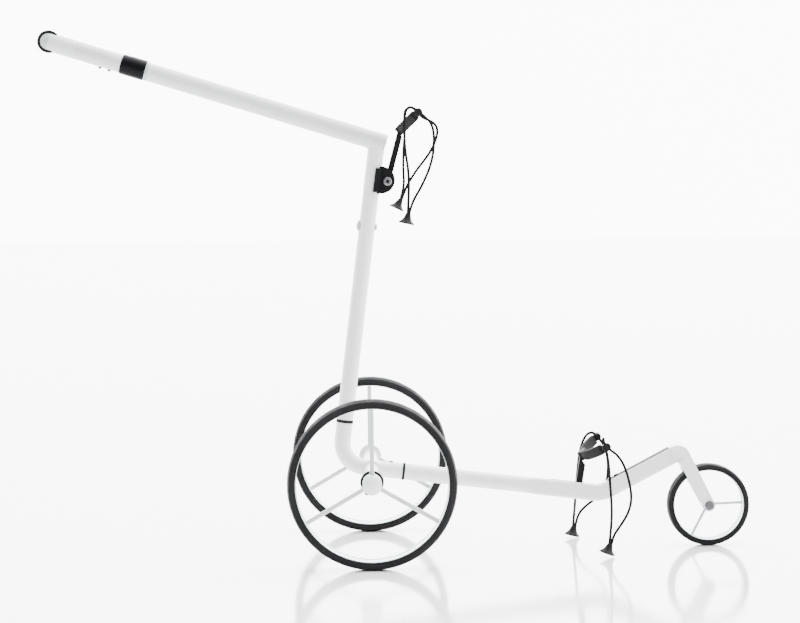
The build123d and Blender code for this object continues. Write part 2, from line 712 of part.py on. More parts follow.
front_tube = front_solid(0) - front_solid(WALL)
front_tube += pipe(on_front(18), on_front(SOCKET_END + FRONT_SEAL + 15), SOCKET_IN, SOCKET_IN - WALL)
SLOT_START = 329.0
SLOT_END = 394.5
SLOT_HALF = 6.0
front_plane = side_plane(WELD, FRONT_WAY)
slot_profile = make_face(
    Polyline((SLOT_START, 9), (SLOT_END, 9), (SLOT_END, 25), (SLOT_START, 25), close=True)
)
front_tube -= across(front_plane, slot_profile, -SLOT_HALF, SLOT_HALF)
front_tube -= cross_rod(LOWER_PIVOT, PIN_R, -20, 20)
front_tube -= button_hole

# a dark wear strip lies on top of the rising bar, held by one screw
BAR_UP = heading(BAR_RISE + 90)
bar_plane = side_plane(BAR_END, BAR_WAY)
STRIP_HALF = 8.0
STRIP_THICK = 1.0
STRIP_LENGTH = 130.0
top = BAR_HEIGHT / 2
strip_top = top + STRIP_THICK
strip_profile = make_face(
    Polyline((-STRIP_LENGTH, top), (-1, top), (-1, strip_top), (-STRIP_LENGTH, strip_top), close=True)
)
strip = across(bar_plane, strip_profile, -STRIP_HALF, STRIP_HALF)
SCREW_AT = 110.9
SCREW_R = 2.0
SCREW_HEAD_R = 4.0
SCREW_HEAD = 1.8
screw_foot = BAR_END - BAR_WAY * SCREW_AT
head_foot = screw_foot + BAR_UP * strip_top
screw = rod(screw_foot + BAR_UP * (top - 6), screw_foot + BAR_UP * (top + 2), SCREW_R)
screw += rod(head_foot, head_foot + BAR_UP * SCREW_HEAD, SCREW_HEAD_R)
screw_hole = rod(screw_foot + BAR_UP * (top - 8), screw_foot + BAR_UP * (top + 8), SCREW_R)
save("bar_strip", strip - screw_hole)
save("bar_screw", screw)
save("front_tube", front_tube - screw_hole)
save("lower_pivot_pin", cross_rod(LOWER_PIVOT, PIN_R, -BAR_WIDTH / 2, BAR_WIDTH / 2))

# ================================================================ fork
BLADE_IN = 23.0
BLADE_OUT = 28.0
CROWN_TOP = 127.2
CROWN_BACK = -14.7
CROWN_CUT = 84.0
fork_plane = side_plane(FRONT_AXLE, BAR_WAY)
fork_profile = make_face(
    [
        Line((CROWN_BACK, CROWN_TOP), (-6, CROWN_TOP)),
        ThreePointArc((-6, CROWN_TOP), (7.4, CROWN_TOP - 6.6), (12.8, CROWN_TOP - 20)),
        Line((12.8, CROWN_TOP - 20), (10.5, 0)),
        ThreePointArc((10.5, 0), (0, -10.5), (-10.5, 0)),
        Line((-10.5, 0), (-12.4, CROWN_TOP - 31)),
        Line((-12.4, CROWN_TOP - 31), (CROWN_BACK, CROWN_TOP - 31)),
        Line((CROWN_BACK, CROWN_TOP - 31), (CROWN_BACK, CROWN_TOP)),
    ]
)
whole_fork = across(fork_plane, fork_profile, -BLADE_OUT, BLADE_OUT)
# seen from above, the crown widens from the bar to the blades
crown_plan = make_face(
    Polyline(
        (CROWN_BACK - 1, -12.5), (-8, -19), (1, -BLADE_OUT), (30, -BLADE_OUT),
        (30, BLADE_OUT), (1, BLADE_OUT), (-8, 19), (CROWN_BACK - 1, 12.5), close=True,
    )
)
plan_plane = Plane(origin=FRONT_AXLE, x_dir=BAR_WAY, z_dir=heading(BAR_RISE + 90))
crown_space = plan_plane * Pos(0, 0, 98) * extrude(crown_plan, amount=60)
leg_space = plan_plane * Pos(0, 0, -20) * extrude(Rectangle(80, 80), amount=118)
fork = (whole_fork & crown_space) + (whole_fork & leg_space)
fork -= cross_rod(FRONT_AXLE, CROWN_CUT, -BLADE_IN, BLADE_IN)
save("fork", fork - cross_rod(FRONT_AXLE, FRONT_BOLT_R, -40, 40))

bolt = cross_rod(FRONT_AXLE, FRONT_BOLT_R, -BLADE_OUT - 2, BLADE_OUT + 6)
AXLE_HEAD_R = 8.5
AXLE_NUT_HALF = 7.5
axle_plane = side_plane(FRONT_AXLE, Vector(1, 0, 0))
head = cross_rod(FRONT_AXLE, AXLE_HEAD_R, -BLADE_OUT - 4, -BLADE_OUT)
head = fillet(head.edges().filter_by(GeomType.CIRCLE).sort_by(Axis.Y)[0], 2.5)
axle_nut = across(axle_plane, RegularPolygon(AXLE_NUT_HALF, 6), BLADE_OUT, BLADE_OUT + 5)
save("front_axle_bolt", bolt + head + axle_nut)

SPACER_R = 6.5
spacers = []
for sign in (1, -1):
    ends = sorted((sign * (FRONT_HUB_HALF + 0.3), sign * BLADE_IN))
    spacers.append(cross_rod(FRONT_AXLE, SPACER_R, *ends) - cross_rod(FRONT_AXLE, FRONT_BOLT_R, *ends))
save("front_spacers", Compound(children=spacers))

# ================================================================ elastic cord loops
CONE_HEIGHT = 18.5
CONE_TOP_R = 4.9
CONE_WAIST_R = 8.3
CONE_WAIST_AT = 9.5
CONE_BASE_R = 14.7
CONE_RIM = 2.0

# Each route starts and ends in its cone and passes once through its swivel. X, Y, Z from the origin.
ROUTES = {
    "upper_cord_right": [
        (23.0, -104.0, 619.0), (25.3, -104.2, 652.0), (26.0, -104.6, 694.0), (18.9, -105.2, 740.0),
        (18.6, -106.0, 777.0), (18.8, -106.5, 795.5), (20.0, -106.5, 807.9), (31.0, -106.5, 815.4),
        (54.0, -106.5, 797.6), (69.2, -106.8, 782.6), (72.8, -107.2, 753.0), (67.4, -107.8, 711.0),
        (47.6, -108.6, 668.0), (30.4, -109.2, 641.0), (25.2, -109.2, 619.0),
    ],
    "upper_cord_left": [
        (12.5, 104.0, 642.3), (21.6, 104.2, 667.0), (19.4, 104.6, 702.0), (20.6, 105.2, 738.0),
        (23.6, 106.0, 772.0), (23.0, 106.5, 797.0), (26.0, 106.5, 814.0), (37.5, 106.5, 820.0),
        (53.0, 106.5, 799.5), (77.0, 106.8, 789.6), (85.2, 107.2, 777.5), (83.0, 107.4, 759.0),
        (70.0, 107.8, 731.0), (43.0, 108.6, 698.0), (23.4, 109.0, 666.5), (15.3, 109.2, 642.3),
    ],
    "lower_cord_right": [
        (378.0, -160.0, 21.8), (381.2, -159.0, 46.0), (384.0, -155.5, 86.0), (381.4, -148.4, 130.0),
        (380.2, -141.5, 162.0), (377.4, -134.5, 186.0), (372.6, -128.6, 203.6), (372.6, -122.1, 210.1),
        (372.6, -113.0, 210.1), (372.4, -106.5, 203.6), (385.4, -106.5, 188.4), (397.8, -110.0, 180.6),
        (410.0, -115.5, 162.0), (418.5, -125.0, 132.5), (422.0, -134.0, 102.0), (414.5, -141.5, 76.0),
        (396.0, -149.0, 50.5), (385.6, -153.5, 37.0), (382.0, -156.0, 21.8),
    ],
    "lower_cord_left": [
        (334.7, 130.0, 20.3), (337.3, 127.0, 49.0), (340.3, 121.0, 93.7), (343.7, 113.5, 139.4),
        (347.6, 108.5, 170.0), (353.6, 106.5, 188.0), (362.4, 106.5, 200.6), (373.6, 106.5, 202.0),
        (389.0, 106.5, 184.0), (398.3, 108.5, 163.0), (401.3, 111.5, 131.0), (396.3, 117.0, 98.5),
        (380.8, 122.0, 76.8), (357.6, 125.5, 59.8), (342.4, 127.0, 42.0), (338.7, 126.0, 20.3),
    ],
}
# Each cone: the middle of its top, and how far it leans forward, in degrees.
CONES = {
    "upper_cord_right": (Vector(24.1, -106.6, 621.0), 12.5),
    "upper_cord_left": (Vector(13.9, 106.6, 644.3), 26.0),
    "lower_cord_right": (Vector(380.0, -158.0, 23.7), 20.0),
    "lower_cord_left": (Vector(336.7, 128.0, 22.2), 13.0),
}


def corner_radii(points):
    """As large an arc at each corner as its two runs allow."""
    radii = []
    for before, corner, after in zip(points, points[1:], points[2:]):
        turn = math.radians((corner - before).get_angle(after - corner))
        shorter = min((corner - before).length, (after - corner).length)
        radii.append(0.45 * shorter / math.tan(turn / 2))
    return radii


def cord_tube(name):
    points = [Vector(*p) for p in ROUTES[name]]
    radii = corner_radii(points)
    path = FilletPolyline(*points, radius=radii)
    start = Plane(origin=points[0], z_dir=points[1] - points[0])
    tube = sweep(start * Circle(CORD_R), path=path)
    share = tube.volume / (math.pi * CORD_R**2 * path.length)
    print(f"{name}: {path.length:.0f} mm, least radius {min(radii):.1f}, volume share {share:.3f}")
    print("   radii", [round(r, 1) for r in radii])
    return tube


def cone(name):
    """Bell-shaped stop that both ends of a loop are held in."""
    top_middle, lean = CONES[name]
    shoulder = CONE_RIM - CONE_HEIGHT
    profile = make_face(
        [
            Line((0, 0), (CONE_TOP_R, 0)),
            ThreePointArc((CONE_TOP_R, 0), (CONE_WAIST_R, -CONE_WAIST_AT), (CONE_BASE_R, shoulder)),
            Line((CONE_BASE_R, shoulder), (CONE_BASE_R - 0.8, -CONE_HEIGHT)),
            Line((CONE_BASE_R - 0.8, -CONE_HEIGHT), (0, -CONE_HEIGHT)),
            Line((0, -CONE_HEIGHT), (0, 0)),
        ]
    )
    shape = revolve(profile.rotate(Axis.X, 90), Axis.Z)
    return Pos(top_middle) * Rot(0, lean, 0) * shape


for name in ROUTES:
    save(name, cord_tube(name))

for level, cradle in (("upper", UPPER), ("lower", LOWER)):
    left = f"{level}_cord_left"
    right = f"{level}_cord_right"
    save(f"{level}_cones", Compound(children=[cone(left), cone(right)]))
    save(f"{level}_swivels", cradle.swivels(NODES[left], NODES[right]))

# ================================================================ overall size, and the places of the joints
box = Compound(children=list(NODES.values())).bounding_box()
print(f"{len(NODES)} nodes, top {box.max.Z:.1f}")
print(f"X {box.min.X:.1f} to {box.max.X:.1f}, Y {box.min.Y:.1f} to {box.max.Y:.1f}")
for name, point in (
    ("rear axle", REAR_AXLE),
    ("front axle", FRONT_AXLE),
    ("upper pivot", UPPER_PIVOT),
    ("lower pivot", LOWER_PIVOT),
    ("upper tip", UPPER.tip),
    ("lower tip", LOWER.tip),
    ("lever pin", lever_centre),
):
    print(f"{name}: {point.X:.3f} {point.Y:.3f} {point.Z:.3f}")
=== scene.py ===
"""Looks of the three-wheel golf push cart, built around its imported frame. Metres."""

import json
import math

import bmesh
import bpy
from mathutils import Matrix, Vector


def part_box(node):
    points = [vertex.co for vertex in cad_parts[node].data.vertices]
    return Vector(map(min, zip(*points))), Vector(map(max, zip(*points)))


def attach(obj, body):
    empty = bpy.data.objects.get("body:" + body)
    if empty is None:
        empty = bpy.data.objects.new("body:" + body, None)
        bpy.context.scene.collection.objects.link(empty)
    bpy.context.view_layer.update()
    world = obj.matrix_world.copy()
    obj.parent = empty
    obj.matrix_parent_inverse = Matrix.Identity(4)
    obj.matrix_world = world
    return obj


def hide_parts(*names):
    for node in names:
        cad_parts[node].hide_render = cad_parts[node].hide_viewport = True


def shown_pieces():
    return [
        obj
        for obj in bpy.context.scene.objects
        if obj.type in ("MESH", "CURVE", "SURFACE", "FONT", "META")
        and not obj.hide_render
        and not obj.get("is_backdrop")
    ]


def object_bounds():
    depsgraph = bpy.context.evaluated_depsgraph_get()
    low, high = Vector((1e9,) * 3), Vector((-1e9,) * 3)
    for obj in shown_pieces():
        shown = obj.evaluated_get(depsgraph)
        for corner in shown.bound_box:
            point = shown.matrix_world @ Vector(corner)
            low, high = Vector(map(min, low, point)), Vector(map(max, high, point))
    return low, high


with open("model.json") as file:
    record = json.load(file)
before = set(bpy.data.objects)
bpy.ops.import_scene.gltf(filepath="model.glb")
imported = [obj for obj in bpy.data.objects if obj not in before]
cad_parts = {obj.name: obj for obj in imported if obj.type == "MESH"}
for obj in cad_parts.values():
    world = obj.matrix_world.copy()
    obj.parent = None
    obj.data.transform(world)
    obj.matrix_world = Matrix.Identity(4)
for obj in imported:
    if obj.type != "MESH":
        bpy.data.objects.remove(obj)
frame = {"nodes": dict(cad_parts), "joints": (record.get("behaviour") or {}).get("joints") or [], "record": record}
CAD_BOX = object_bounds()
NODES = frame["nodes"]
JOINTS = {joint["name"]: joint for joint in frame["joints"]}

MM = 0.001
X_AXLE, _, Z_AXLE = JOINTS["rear_left_spin"]["pos_m"]
UPPER_TIP = Vector(JOINTS["upper_cords_swing"]["pos_m"])
LOWER_TIP = Vector(JOINTS["lower_cords_swing"]["pos_m"])

# ------------------------------------------------------------------ camera
CAMERA_PLACE = (X_AXLE - 0.0327, -5.3836, 0.6988)
CAMERA_YAW = math.radians(-0.952)
CAMERA_PITCH = math.radians(-2.757)
CAMERA_ROLL = math.radians(0.642)
SENSOR_WIDTH = 36.0
LENS = 131.5
CAMERA_REACH = 60


def add_camera():
    """Camera at the photograph's viewpoint, which was fitted to the outlines of the wheels."""
    data = bpy.data.cameras.new("camera")
    data.sensor_width = SENSOR_WIDTH
    data.lens = LENS
    data.clip_end = CAMERA_REACH
    camera = bpy.data.objects.new("camera", data)
    turn = (
        Matrix.Rotation(CAMERA_YAW, 4, "Z")
        @ Matrix.Rotation(CAMERA_PITCH, 4, "X")
        @ Matrix.Rotation(CAMERA_ROLL, 4, "Y")
        @ Matrix.Rotation(math.radians(90), 4, "X")
    )
    camera.matrix_world = Matrix.Translation(CAMERA_PLACE) @ turn
    bpy.context.scene.collection.objects.link(camera)
    bpy.context.scene.camera = camera


add_camera()

# ------------------------------------------------------------------ elastic cord loops
CORD_RADIUS = 2.45 * MM
# A spline point's own radius multiplies the bevel and pads the curve's box, so it is small.
POINT_RADIUS = 0.01
# Each route starts and ends in its bell and turns once through the holder on the cradle's tip. Millimetres.
CORD_ROUTES = {
    "upper_cord_right": [
        (23.0, -104.0, 619.0), (25.3, -104.2, 652.0), (26.0, -104.6, 694.0), (18.9, -105.2, 740.0),
        (18.6, -106.0, 777.0), (18.8, -106.5, 795.5), (20.0, -106.5, 807.9), (31.0, -106.5, 815.4),
        (54.0, -106.5, 797.6), (69.2, -106.8, 782.6), (72.8, -107.2, 753.0), (67.4, -107.8, 711.0),
        (47.6, -108.6, 668.0), (30.4, -109.2, 641.0), (25.2, -109.2, 619.0),
    ],
    "upper_cord_left": [
        (12.5, 104.0, 642.3), (21.6, 104.2, 667.0), (19.4, 104.6, 702.0), (20.6, 105.2, 738.0),
        (23.6, 106.0, 772.0), (23.0, 106.5, 797.0), (26.0, 106.5, 814.0), (37.5, 106.5, 820.0),
        (53.0, 106.5, 799.5), (77.0, 106.8, 789.6), (85.2, 107.2, 777.5), (83.0, 107.4, 759.0),
        (70.0, 107.8, 731.0), (43.0, 108.6, 698.0), (23.4, 109.0, 666.5), (15.3, 109.2, 642.3),
    ],
    "lower_cord_right": [
        (378.0, -160.0, 21.8), (381.2, -159.0, 46.0), (384.0, -155.5, 86.0), (381.4, -148.4, 130.0),
        (380.2, -141.5, 162.0), (377.4, -134.5, 186.0), (372.6, -128.6, 203.6), (372.6, -122.1, 210.1),
        (372.6, -113.0, 210.1), (372.4, -106.5, 203.6), (385.4, -106.5, 188.4), (397.8, -110.0, 180.6),
        (410.0, -115.5, 162.0), (418.5, -125.0, 132.5), (422.0, -134.0, 102.0), (414.5, -141.5, 76.0),
        (396.0, -149.0, 50.5), (385.6, -153.5, 37.0), (382.0, -156.0, 21.8),
    ],
    "lower_cord_left": [
        (334.7, 130.0, 20.3), (337.3, 127.0, 49.0), (340.3, 121.0, 93.7), (343.7, 113.5, 139.4),
        (347.6, 108.5, 170.0), (353.6, 106.5, 188.0), (362.4, 106.5, 200.6), (373.6, 106.5, 202.0),
        (389.0, 106.5, 184.0), (398.3, 108.5, 163.0), (401.3, 111.5, 131.0), (396.3, 117.0, 98.5),
        (380.8, 122.0, 76.8), (357.6, 125.5, 59.8), (342.4, 127.0, 42.0), (338.7, 126.0, 20.3),
    ],
}
# Each bell: the middle of its top in millimetres, and how far it leans forward, in degrees.
BELLS = {
    "upper_cord_right": ((24.1, -106.6, 621.0), 12.5),
    "upper_cord_left": ((13.9, 106.6, 644.3), 26.0),
    "lower_cord_right": ((380.0, -158.0, 23.7), 20.0),
    "lower_cord_left": ((336.7, 128.0, 22.2), 13.0),
}
# radius and height in millimetres: over the top, down the flared skirt, round its rim and in under it
BELL_PROFILE = (
    (0.0, 0.3), (3.6, 0.3), (4.5, 0.0),
    (5.0, -0.9), (5.3, -2.6), (5.9, -5.2), (6.9, -8.2), (8.4, -10.8), (10.6, -13.2), (13.0, -15.2),
    (14.4, -16.3), (14.6, -17.0), (14.2, -17.9), (13.1, -18.4), (11.6, -18.2), (10.8, -17.3),
    (7.0, -15.4), (4.5, -14.8), (0.0, -14.6),
)
BELL_HEIGHT = 18.5
BELL_RIBS = 10
BELL_RIB_RISE = 0.45 * MM
# The ribs start this far down the bell and end at this share of its height. Smaller radii have none.
BELL_RIB_START = 3 * MM
BELL_RIB_STOP = 0.93
BELL_RIB_RADIUS = 5.5 * MM
BELL_STEPS = 120
BELL_SHARP = 55.0


def add_mesh(name, vertices, faces, sharp):
    """A smooth piece whose edges stay sharp past an angle in degrees."""
    mesh = bpy.data.meshes.new(name)
    mesh.from_pydata([tuple(v) for v in vertices], [], faces)
    mesh.update()
    work = bmesh.new()
    work.from_mesh(mesh)
    bmesh.ops.recalc_face_normals(work, faces=work.faces)
    work.to_mesh(mesh)
    work.free()
    mesh.polygons.foreach_set("use_smooth", [True] * len(mesh.polygons))
    mesh.set_sharp_from_angle(angle=math.radians(sharp))
    piece = bpy.data.objects.new(name, mesh)
    bpy.context.scene.collection.objects.link(piece)
    return piece


def lathe(name, profile, place, axis, steps, sharp, closed=True, radius_at=None):
    """Turns a profile of (radius, height) about an axis through a place.

    A point at radius 0 lies on the axis. A closed profile's last point is joined to its first.
    """
    turn = Vector(axis).to_track_quat("Z", "Y").to_matrix()
    vertices, rows = [], []
    for radius, height in profile:
        if radius == 0:
            rows.append([len(vertices)])
            vertices.append(place + turn @ Vector((0, 0, height)))
            continue
        rows.append(list(range(len(vertices), len(vertices) + steps)))
        for i in range(steps):
            angle = math.tau * i / steps
            r = radius if radius_at is None else radius_at(radius, height, angle)
            spot = Vector((r * math.cos(angle), r * math.sin(angle), height))
            vertices.append(place + turn @ spot)
    faces = []
    pairs = list(zip(rows, rows[1:])) + ([(rows[-1], rows[0])] if closed else [])
    for low, high in pairs:
        for i in range(steps):
            j = (i + 1) % steps
            if len(low) == 1:
                faces.append((low[0], high[j], high[i]))
            elif len(high) == 1:
                faces.append((low[i], low[j], high[0]))
            else:
                faces.append((low[i], low[j], high[j], high[i]))
    return add_mesh(name, vertices, faces, sharp)


def add_bell(cord_name):
    """Bell-shaped stop with raised ribs down its skirt."""
    top, lean = BELLS[cord_name]

    def ribbed(radius, height, angle):
        down = -height / (BELL_HEIGHT * MM)
        if height > -BELL_RIB_START or radius < BELL_RIB_RADIUS or down > BELL_RIB_STOP:
            return radius
        return radius + BELL_RIB_RISE * math.cos(BELL_RIBS * angle) * math.sin(math.pi * down)

    profile = [(r * MM, h * MM) for r, h in BELL_PROFILE]
    axis = Matrix.Rotation(math.radians(lean), 3, "Y") @ Vector((0, 0, 1))
    name = cord_name.replace("cord", "bell")
    place = Vector(top) * MM
    return lathe(name, profile, place, axis, BELL_STEPS, BELL_SHARP, False, ribbed)


def add_cord(name):
    """One open spline along a cord's route, with the cord's thickness as its bevel."""
    data = bpy.data.curves.new(name + "_line", "CURVE")
    data.dimensions = "3D"
    data.bevel_depth = CORD_RADIUS / POINT_RADIUS
    data.bevel_resolution = 6
    data.resolution_u = 10
    data.use_fill_caps = True
    spline = data.splines.new("NURBS")
    route = CORD_ROUTES[name]
    spline.points.add(len(route) - 1)
    for point, place in zip(spline.points, route):
        point.co = (place[0] * MM, place[1] * MM, place[2] * MM, 1)
        point.radius = POINT_RADIUS
    spline.order_u = 3
    spline.use_endpoint_u = True
    cord = bpy.data.objects.new(name + "_line", data)
    bpy.context.scene.collection.objects.link(cord)
    return cord


def line_length(cord):
    """Length of a cord's own curve, read with its thickness off."""
    depth = cord.data.bevel_depth
    cord.data.bevel_depth = 0
    mesh = bpy.data.meshes.new_from_object(cord)
    cord.data.bevel_depth = depth
    points = [v.co.copy() for v in mesh.vertices]
    bpy.data.meshes.remove(mesh)
    return sum((b - a).length for a, b in zip(points, points[1:]))


CORDS, BELL_PIECES = {}, {}
for cord_name in CORD_ROUTES:
    body = cord_name.split("_")[0] + "_cords"
    CORDS[cord_name] = add_cord(cord_name)
    BELL_PIECES[cord_name] = add_bell(cord_name)
    for piece, slot in ((CORDS[cord_name], "elastic"), (BELL_PIECES[cord_name], "black_plastic")):
        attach(piece, body)
    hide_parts(cord_name)
for level in ("upper", "lower"):
    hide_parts(level + "_cones")

for cord_name, cord in CORDS.items():
    line_length(cord)

# ------------------------------------------------------------------ materials
RUBBER_SHINE = 0.015
METAL_GRAIN = 300.0
# the middle of the upper pivot bolt's head, how far from there its socket reaches, and its shade's soft edge
PIVOT_HEAD = Vector(JOINTS["upper_support_fold"]["pos_m"]) + Vector((0, -12.5 * MM, 0))
SOCKET_EDGE = 3.4 * MM
SOCKET_FADE = 0.7 * MM
SOCKET_DARK = (0.012, 0.012, 0.0125)


class Look:
    """A node material, built up in short steps."""

    def __init__(self, name, colour, roughness, metallic=0.0):
        self.material = bpy.data.materials.new(name)
        self.material.use_nodes = True
        self.nodes = self.material.node_tree.nodes
        self.links = self.material.node_tree.links
        self.shader = self.nodes["Principled BSDF"]
        self.shader.inputs["Base Color"].default_value = (*colour, 1)
        self.shader.inputs["Roughness"].default_value = roughness
        self.shader.inputs["Metallic"].default_value = metallic
        self.colour = colour
        self.place = self.nodes.new("ShaderNodeTexCoord").outputs["Object"]
        self.normal = None

    def set(self, **values):
        """Sets the shader's own sockets. An underscore stands for a space."""
        for name, value in values.items():
            self.shader.inputs[name.replace("_", " ")].default_value = value
        return self

    def scaled(self, scale):
        if scale == (1, 1, 1):
            return self.place
        mapping = self.nodes.new("ShaderNodeMapping")
        mapping.inputs["Scale"].default_value = scale
        self.links.new(self.place, mapping.inputs["Vector"])
        return mapping.outputs["Vector"]

    def noise(self, scale, detail, stretch=(1, 1, 1)):
        node = self.nodes.new("ShaderNodeTexNoise")
        node.inputs["Scale"].default_value = scale
        node.inputs["Detail"].default_value = detail
        self.links.new(self.scaled(stretch), node.inputs["Vector"])
        return node.outputs["Fac"]

    def cells(self, scale, stretch=(1, 1, 1)):
        node = self.nodes.new("ShaderNodeTexVoronoi")
        node.inputs["Scale"].default_value = scale
        self.links.new(self.scaled(stretch), node.inputs["Vector"])
        return node.outputs["Distance"]

    def wave(self, scale, direction):
        node = self.nodes.new("ShaderNodeTexWave")
        node.bands_direction = direction
        node.inputs["Scale"].default_value = scale
        self.links.new(self.place, node.inputs["Vector"])
        return node.outputs["Fac"]

    def ramp(self, source, low, high, start, end):
        """Turns a source that runs from start to end into one that runs from low to high."""
        node = self.nodes.new("ShaderNodeMapRange")
        node.inputs["From Min"].default_value = start
        node.inputs["From Max"].default_value = end
        node.inputs["To Min"].default_value = low
        node.inputs["To Max"].default_value = high
        self.links.new(source, node.inputs["Value"])
        return node.outputs["Result"]

    def roughness(self, source, low, high):
        """Spreads the middle part of a noise over a range of roughness."""
        level = self.ramp(source, low, high, 0.3, 0.7)
        self.links.new(level, self.shader.inputs["Roughness"])
        return self

    def tint(self, source, other, most, start=0.4, end=0.75):
        """Mixes another colour in where the source is high."""
        node = self.nodes.new("ShaderNodeMix")
        node.data_type = "RGBA"
        node.inputs["A"].default_value = (*self.colour, 1)
        node.inputs["B"].default_value = (*other, 1)
        self.links.new(self.ramp(source, 0.0, most, start, end), node.inputs["Factor"])
        self.links.new(node.outputs["Result"], self.shader.inputs["Base Color"])
        return self

    def bump(self, source, depth, strength):
        """Adds relief of a depth in metres on top of the relief so far."""
        node = self.nodes.new("ShaderNodeBump")
        node.inputs["Strength"].default_value = strength
        node.inputs["Distance"].default_value = depth
        self.links.new(source, node.inputs["Height"])
        if self.normal is not None:
            self.links.new(self.normal, node.inputs["Normal"])
        self.normal = node.outputs["Normal"]
        self.links.new(self.normal, self.shader.inputs["Normal"])
        return self


def paint_look(name, colour, roughness):
    """Powder coat: fine orange peel under a clear gloss, with faint uneven dulling."""
    look = Look(name, colour, roughness)
    look.set(Coat_Weight=0.35, Coat_Roughness=0.12)
    look.roughness(look.noise(22.0, 5.0), roughness - 0.06, roughness + 0.1)
    look.bump(look.noise(900.0, 2.0), 0.00006, 0.5)
    return look.bump(look.noise(160.0, 2.0), 0.00008, 0.35)


def rubber_look(name, colour, roughness, grain=1400.0):
    """Rubber: matt and finely grained, with paler patches."""
    look = Look(name, colour, roughness)
    look.set(Specular_IOR_Level=RUBBER_SHINE)
    look.roughness(look.noise(35.0, 5.0), roughness - 0.1, roughness + 0.15)
    look.tint(look.noise(18.0, 6.0), tuple(c * 1.4 + 0.002 for c in colour), 0.5)
    return look.bump(look.noise(grain, 3.0), 0.00006, 0.4)


def plastic_look(name, colour, roughness, grain_depth, shine):
    """Moulded plastic with a fine leathery grain."""
    look = Look(name, colour, roughness)
    look.set(Specular_IOR_Level=shine)
    look.roughness(look.noise(40.0, 4.0), roughness - 0.07, roughness + 0.1)
    return look.bump(look.cells(1800.0), grain_depth, 0.6)


def black_paint_look(name, colour, roughness):
    """Black powder coat: fine orange peel, with little shine."""
    look = Look(name, colour, roughness)
    look.set(Specular_IOR_Level=0.06)
    look.roughness(look.noise(30.0, 5.0), roughness - 0.08, roughness + 0.12)
    look.bump(look.noise(900.0, 2.0), 0.00008, 0.5)
    return look.bump(look.noise(240.0, 2.0), 0.00006, 0.3)


def metal_look(name, colour, roughness, stretch=(1, 1, 1)):
    """Bare metal. Its grain runs along an axis whose stretch is small."""
    look = Look(name, colour, roughness, 1.0)
    look.roughness(look.noise(METAL_GRAIN, 4.0, stretch), roughness - 0.08, roughness + 0.14)
    return look.bump(look.noise(METAL_GRAIN * 2, 3.0, stretch), 0.00003, 0.5)


def elastic_look():
    """Braided sheath: slanted yarns broken up by small cells and fine fibres."""
    look = Look("elastic_braid", (0.009, 0.009, 0.0094), 0.9)
    look.set(Specular_IOR_Level=0.01)
    look.tint(look.noise(700.0, 3.0), (0.018, 0.018, 0.0185), 0.6)
    look.bump(look.wave(420.0, "DIAGONAL"), 0.00015, 0.4)
    look.bump(look.cells(900.0, (1, 1, 0.6)), 0.0001, 0.35)
    return look.bump(look.noise(2600.0, 2.0), 0.00004, 0.3)


def socket_bolt_look():
    """Zinc-plated bolt head whose hexagon socket lies in shadow."""
    look = metal_look("socket_bolt", (0.20, 0.202, 0.208), 0.36)
    reach = look.nodes.new("ShaderNodeVectorMath")
    reach.operation = "DISTANCE"
    reach.inputs[1].default_value = PIVOT_HEAD
    look.links.new(look.place, reach.inputs[0])
    return look.tint(reach.outputs["Value"], SOCKET_DARK, 1.0, SOCKET_EDGE + SOCKET_FADE, SOCKET_EDGE)


def ring_look():
    """Cloudy clear plastic."""
    look = Look("clear_ring", (0.80, 0.84, 0.84), 0.22)
    look.set(Transmission_Weight=0.55, IOR=1.46)
    look.roughness(look.noise(60.0, 3.0), 0.16, 0.3)
    return look.bump(look.noise(500.0, 2.0), 0.00005, 0.4)


LOOKS = {
    "white_paint": paint_look("white_powder_coat", (0.76, 0.765, 0.775), 0.34),
    "tyre_rubber": rubber_look("tyre_rubber", (0.014, 0.014, 0.0146), 0.5, 900.0),
    "black_rubber": rubber_look("black_rubber", (0.014, 0.014, 0.0145), 0.6),
    "black_plastic": plastic_look("black_plastic", (0.010, 0.010, 0.0105), 0.45, 0.00003, 0.06),
    "gloss_black": plastic_look("gloss_black", (0.004, 0.004, 0.005), 0.22, 0.00001, 0.05),
    "black_metal": black_paint_look("black_powder_coat", (0.007, 0.007, 0.0075), 0.42),
    "steel": metal_look("brushed_steel", (0.30, 0.305, 0.31), 0.34, (1, 0.08, 1)),
    "grey_metal": metal_look("satin_aluminium", (0.45, 0.455, 0.46), 0.36, (1, 0.1, 1)),
    "zinc": metal_look("zinc_plate", (0.17, 0.172, 0.178), 0.36),
    "elastic": elastic_look(),
    "clear_ring": ring_look(),
    "white_plastic": plastic_look("white_plastic", (0.82, 0.825, 0.835), 0.34, 0.00003, 0.5),
}
# handle tubes, front cap and grip: the white powder coat made darker all over, as painted shade
SHADE_DARKENED_HANDLE_LOOK = paint_look("handle_paint_darkened_for_shade", (0.60, 0.61, 0.63), 0.36)
# wheel spokes: the white powder coat made darker all over, as painted shade
SHADE_DARKENED_SPOKE_LOOK = paint_look("spoke_paint_darkened_for_shade", (0.54, 0.545, 0.55), 0.34)
RIM_LOOK = paint_look("rim_paint", (0.66, 0.76, 0.75), 0.26)
BOLT_LOOK = metal_look("grey_bolt", (0.12, 0.122, 0.125), 0.4)
GREY_CAP_LOOK = plastic_look("grey_cap", (0.40, 0.425, 0.43), 0.4, 0.00003, 0.4)


def dress(piece, look):
    piece.data.materials.clear()
    piece.data.materials.append(look.material)


def dress_node(node, look):
    """Puts a look on a CAD node, in every material place that its mesh has."""
    mesh = NODES[node].data
    if not mesh.materials:
        mesh.materials.append(look.material)
    for i in range(len(mesh.materials)):
        mesh.materials[i] = look.material


